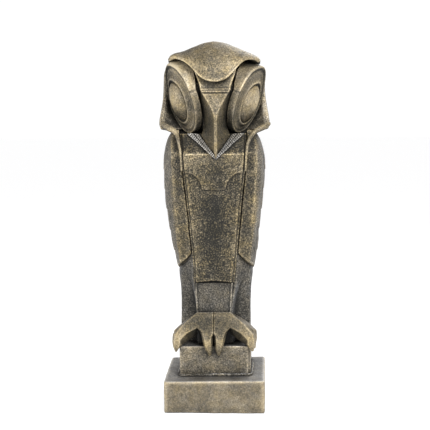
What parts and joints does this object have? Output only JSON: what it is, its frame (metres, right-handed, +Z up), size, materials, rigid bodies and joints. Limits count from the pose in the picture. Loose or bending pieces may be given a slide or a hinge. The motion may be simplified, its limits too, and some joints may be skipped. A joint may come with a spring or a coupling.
{
  "type": "owl figurine",
  "caption": "Stylised owl statuette: a narrow cast owl with disc eyes, ridged beak, folded wings and splayed toes, perched on a block on a square plinth.",
  "frame": {"origin": "centre of the plinth's underside, where the figurine stands", "axes": "+Z up through the crown, +X across the front, the owl looks along -Y"},
  "size_m": [0.0982, 0.088, 0.322],
  "materials": {
    "bronze": "dark bronze patina, rubbed lighter on the edges",
    "steel": "plain",
    "felt": "felt"
  },
  "bodies": {
    "root": {"plinth": "bronze", "felt_pad": "felt", "perch_block": "bronze", "bedding_joint": "bronze", "tie_rod": "steel", "washer": "steel", "nut": "steel", "torso_core": "bronze", "breast_shield": "bronze", "bib": "bronze", "lower_panel": "bronze", "left_wing": "bronze", "right_wing": "bronze", "tail": "bronze", "left_foot": "bronze", "right_foot": "bronze", "head_core": "bronze", "neck_dowel": "steel", "face_mask": "bronze", "crown_cap": "bronze", "hood": "bronze", "left_collar": "bronze", "right_collar": "bronze", "left_throat_band": "bronze", "right_throat_band": "bronze", "left_eye_disc": "bronze", "right_eye_disc": "bronze", "left_eyeball": "bronze", "right_eyeball": "bronze"}
  },
  "joints": []
}
